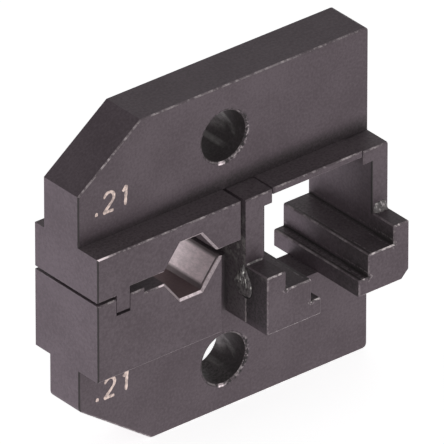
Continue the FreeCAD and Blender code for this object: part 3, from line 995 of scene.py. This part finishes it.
@dataclass
class SeamBlob(SidePiece):
    """Lump of braze over a seam pin's end, pear-shaped, rough above and rubbed flat below.

    The surface is a dome over a polar grid whose rim lies on the wall. Its height falls off
    with a power of the radius, the higher near the foot, where it has been rubbed flat.

    Attributes:
        half_width: Half the width at the pin.
        proud: Height over the wall.
        widest: Where the lump is widest, as a share of its height.
        pear: Share of the width lost at the top.
        ridge: Height of the upright ridges in its upper part.
        grit: Height of the grit between them.
    """

    half_width: float = 1.20
    proud: float = 0.12
    widest: float = 0.31
    pear: float = 0.62
    ridge: float = 0.20
    grit: float = 0.10

    def build(self, material: bpy.types.Material) -> None:
        """Builds the lump and sets it on the lower half."""
        turn = np.linspace(0, 2 * np.pi, 72, endpoint=False)[None, :]
        radius = np.linspace(0.0, 1.0, 26)[:, None]
        ragged = 1 + 0.05 * np.sin(5 * turn + 0.8) + 0.035 * np.sin(11 * turn + 2.0)
        upper = np.clip(np.sin(turn), 0, 1)
        pear = 1 - self.pear * upper ** 1.2
        middle = self.low + self.widest * (self.high - self.low)
        lift = np.where(np.sin(turn) > 0, self.high - middle, middle - self.low)
        y = self.y + radius * self.half_width * np.cos(turn) * pear * ragged
        z = middle + radius * lift * np.sin(turn) * ragged
        points = np.stack([self.face_x + 0 * y, y, z], axis=-1)
        share = np.clip((z - self.low) / (self.high - self.low), 0, 1)
        dome = 1 - radius ** (3 + 5 * (1 - share))
        ridges = np.abs(np.sin(9.5 * (y - self.y) + 1.5 * np.sin(2.4 * z) + 0.6))
        rough = (self.ridge * ridges + np.abs(ripple(points, self.grit, 0.5, 1.3))) \
            * share ** 1.5 * (1 - radius ** 4)
        height = (self.proud * (0.45 + 0.55 * share) * dome + rough) - 0.02 * radius ** 12
        points[..., 0] += self.side.value * height
        add_seam("blob", self.side, points, material, closed=True)


@dataclass
class SeamLine(SidePiece):
    """Thin polished line where a guide block butts against the nest.

    Attributes:
        width: Width of the line.
        proud: Height over the face.
    """

    width: float = 0.22
    proud: float = 0.015

    def build(self, material: bpy.types.Material) -> None:
        """Builds the line and sets it on the lower half."""
        along = np.linspace(0, 1, 40)[:, None]
        across = np.linspace(-1, 1, 7)[None, :]
        width = self.width / 2 * (1 + 0.25 * np.sin(along * 21)) * np.ones_like(across)
        z = self.low + (self.high - self.low) * along + 0 * across
        y = self.y + across * width
        crown = self.proud * (1 - across ** 2 * 1.5) + 0 * along
        x = self.face_x + self.side.value * crown
        add_seam("line", self.side, np.stack([x, y, z], axis=-1), material)


@dataclass
class Die:
    """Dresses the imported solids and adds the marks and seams.

    Attributes:
        frame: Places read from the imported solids.
        number: Number cut into both tangs.
        number_from_left: First digit's left side from the die's left side.
        upper_number_low: Z of the upper number's foot.
        lower_number_low: Z of the lower number's foot.
        tang_setback: Tang's front face behind the jaws' front face.
        beads: Rise, reach and lumps of each side's bead.
        bead_gaps: Gaps between a bead and the nest's wall, and the block's outer side.
        blob_setback: Middle of a lump of braze behind the front face.
        blob_ends: Foot of a lump over its pin's foot, and its top over the block's.
        line_foot: Foot of a seam line over the guide block's underside.
        slots: Material of each slot, once it is built.
    """

    frame: Frame
    number: str = ".21"
    number_from_left: float = 2.72
    upper_number_low: float = 19.15
    lower_number_low: float = 1.0
    tang_setback: float = 2.6
    beads: tuple[tuple[Side, Point], ...] = ((Side.RIGHT, (0.85, 0.40, 0.09)),
                                             (Side.LEFT, (0.14, 0.14, 0.02)))
    bead_gaps: tuple[float, float] = (0.1, 0.05)
    blob_setback: float = 0.30
    blob_ends: tuple[float, float] = (0.08, 0.02)
    line_foot: float = 0.05
    slots: dict[str, bpy.types.Material] = field(default_factory=dict)

    @cached_property
    def marks(self) -> Landmarks:
        """Places that wear, stains and painted light and shade keep to."""
        return Landmarks(self.frame.left, self.frame.front, self.frame.outer(Side.LEFT))

    def materials(self) -> None:
        """Builds one material for each slot and kind of mark."""
        finishes = (
            BlackOxide("black_oxide", self.marks),
            # The guide blocks' edges: worn burrs, brighter and more flecked with painted glints.
            BlackOxide("black_oxide_guide", self.marks, (0.62, 0.56, 0.56), 0.8, 0.4),
            GroundSteel("punch_steel", (0.20, 0.185, 0.19)),
            GroundSteel("pin_steel", (0.34, 0.32, 0.32), 0.3, (0.1, 1.0, 1.0)),
            GroundSteel("seam_pin_steel", (0.05, 0.047, 0.047), 0.55),
            # The beads' braze has dimmer painted glints.
            RoughBraze("braze"), RoughBraze("braze_dull", bright=(0.34, 0.31, 0.31)),
            ScribedMetal("scribed"),
            ScribedMetal("seam_line", (0.34, 0.30, 0.30), (0.20, 0.17, 0.175)),
        )
        self.slots = {finish.name: finish.material() for finish in finishes}

    def dress_solids(self) -> None:
        """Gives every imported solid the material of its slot."""
        slot_of = {row["node"]: row["material_slot"] for row in frame["record"]["subparts"]}
        for name, solid in frame["nodes"].items():
            for place in solid.material_slots:
                place.material = self.slots[slot_of[name]]
            log.info("%s is dressed in %s", name, slot_of[name])

    def numbers(self) -> None:
        """Cuts the number into both tangs."""
        left = self.frame.left + self.number_from_left
        face = self.frame.front + self.tang_setback
        for body, low in ((UPPER, self.upper_number_low), (LOWER, self.lower_number_low)):
            EngravedNumber(self.number, body, (left, low), face).build(
                self.slots["scribed"], "black_oxide")

    def seams(self) -> None:
        """Adds the brazed corners and the seam lines of the guide blocks."""
        top, front = float(self.frame.guides[Side.LEFT][1][2]), self.frame.front
        nest = self.marks.nest
        for side, section in self.beads:
            inner = nest.middle + (nest.wall + self.bead_gaps[0]) * side.value
            outer = self.frame.outer(side) - self.bead_gaps[1] * side.value
            bead = SeamBead(side, *sorted((inner, outer)), front, top, *section)
            bead.build(self.slots["braze_dull"])
        for side in Side:
            outer, foot = self.frame.outer(side), float(self.frame.pins[side][0][2])
            low = float(self.frame.guides[side][0][2]) + self.line_foot
            blob = SeamBlob(side, outer, front + self.blob_setback, foot + self.blob_ends[0],
                            top + self.blob_ends[1])
            blob.build(self.slots["braze"])
            SeamLine(side, outer, front, low, foot).build(self.slots["seam_line"])

    def build(self) -> None:
        """Builds everything in order."""
        self.materials()
        self.dress_solids()
        self.numbers()
        self.seams()


def set_looking(name: str, data: Any, place: np.ndarray, back: np.ndarray) -> bpy.types.Object:
    """Sets a lamp or camera at a place in millimetres, with its back to the given direction."""
    thing = bpy.data.objects.new(name, data)
    bpy.context.scene.collection.objects.link(thing)
    thing.location = Vector(place * MM)
    thing.rotation_mode = "QUATERNION"
    thing.rotation_quaternion = Vector(-back).to_track_quat("-Z", "Y")
    return thing


@dataclass(frozen=True)
class Lamp:
    """Square soft lamp that looks at the aim.

    Attributes:
        name: Name of the lamp.
        direction: Way from the aim to the lamp.
        power: Power in watts.
        size: Side of the lamp in millimetres.
        tint: Colour of the light.
        distance: Distance from the aim in millimetres.
    """

    name: str
    direction: Point
    power: float
    size: float = 240.0
    tint: Colour = (1.0, 1.0, 1.0)
    distance: float = 420.0

    def build(self, aim: Point) -> None:
        """Sets the lamp round the aim, a point in millimetres."""
        data = bpy.data.lights.new(self.name, "AREA")
        data.shape = "SQUARE"
        data.size = self.size * MM
        data.energy = self.power
        data.color = self.tint
        way = np.array(self.direction) / np.linalg.norm(self.direction)
        set_looking(self.name, data, np.array(aim) + way * self.distance, way)


@dataclass
class Studio:
    """Pale floor, soft lamps and the photograph's camera.

    Attributes:
        floor_z: Height of the floor, in millimetres.
        azimuth: Camera's turn round the object, in degrees.
        elevation: Camera's height over the horizon, in degrees.
        distance: Camera's distance from the aim, in millimetres.
        aim: Point in the picture's middle, in millimetres.
        shift_px: Place of the aim right of and above the picture's middle, taken off again.
        picture: Width of the picture in pixels.
        focal_px: Focal length in pixels.
        sensor: Width of the sensor.
        ambient: Strength of the even light.
        floor_rings: Radii of the floor's rings, in millimetres.
        lamps: The lamps.
    """

    floor_z: float
    azimuth: float = -39.39
    elevation: float = 30.32
    distance: float = 1368.0
    aim: Point = (-0.02, -1.185, 12.48)
    shift_px: tuple[float, float] = (4.12, 6.49)
    picture: float = 444.0
    focal_px: float = 16136.0
    sensor: float = 36.0
    ambient: float = 0.30
    floor_rings: tuple[float, ...] = (1.0, 40.0, 300.0, 1500.0)
    lamps: tuple[Lamp, ...] = (
        Lamp("left", (-1.0, 0.50, -0.75), 1.40, tint=(0.98, 0.93, 1.0)),
        Lamp("front", (0.22, -1.0, -0.45), 0.90),
        Lamp("near", (-0.52, -0.80, 0.13), 0.34, 300.0),
        Lamp("back", (0.60, 1.0, -0.15), 0.90))

    def axes(self) -> tuple[np.ndarray, np.ndarray, np.ndarray]:
        """Right, up and backward directions of the camera."""
        a, e = math.radians(self.azimuth), math.radians(self.elevation)
        right = np.array([math.cos(a), math.sin(a), 0.0])
        back = np.array([math.sin(a) * math.cos(e), -math.cos(a) * math.cos(e), math.sin(e)])
        return right, np.cross(back, right), back

    def camera(self) -> None:
        """Sets the camera, whose aim is moved so that the picture needs no lens shift."""
        right, up, back = self.axes()
        scale = self.distance / self.focal_px
        middle = np.array(self.aim) + (right * self.shift_px[0] + up * self.shift_px[1]) * scale
        data = bpy.data.cameras.new("camera")
        data.sensor_width = self.sensor
        data.lens = self.focal_px / self.picture * self.sensor
        data.clip_start, data.clip_end = 0.05, 20.0
        place = middle + back * self.distance
        bpy.context.scene.camera = set_looking("camera", data, place, back)

    def world(self) -> None:
        """White to the background's rays, and a weak even light to everything else."""
        world = bpy.data.worlds.new("world")
        bpy.context.scene.world = world
        graph = Graph(world)
        strength = self.ambient + graph.backgaroundrays() * (1.0 - self.ambient)
        light = graph.add("ShaderNodeBackground", None,
                          {"Color": (1.0, 1.0, 1.0, 1.0), "Strength": strength})
        graph.add("ShaderNodeOutputWorld", None, {"Surface": light})

    def floor(self) -> None:
        """Lays a wide round floor under the die, which lets light through from below."""
        turn = np.linspace(0, 2 * np.pi, 96, endpoint=False)
        x, y = (np.outer(self.floor_rings, part) for part in (np.cos(turn), np.sin(turn)))
        disc = np.stack([x, y, np.full_like(x, self.floor_z)], axis=-1)
        floor = grid_object("floor", disc, closed=True, smooth=False)
        floor.data.materials.append(PaleStage().material())
        floor.visible_shadow = floor.visible_diffuse = False

    def build(self) -> None:
        """Builds floor, world, lamps and camera, and sets the view transform."""
        self.camera()
        self.world()
        self.floor()
        for lamp in self.lamps:
            lamp.build(self.aim)
        bpy.context.scene.view_settings.view_transform = "Standard"


def main() -> None:
    """Builds the die and its studio."""
    logging.basicConfig(level=logging.INFO, format="%(name)s: %(message)s")
    places = Frame.read()
    Die(places).build()
    Studio(floor_z=float(places.lower[0][2])).build()


if __name__ == "__main__":
    main()
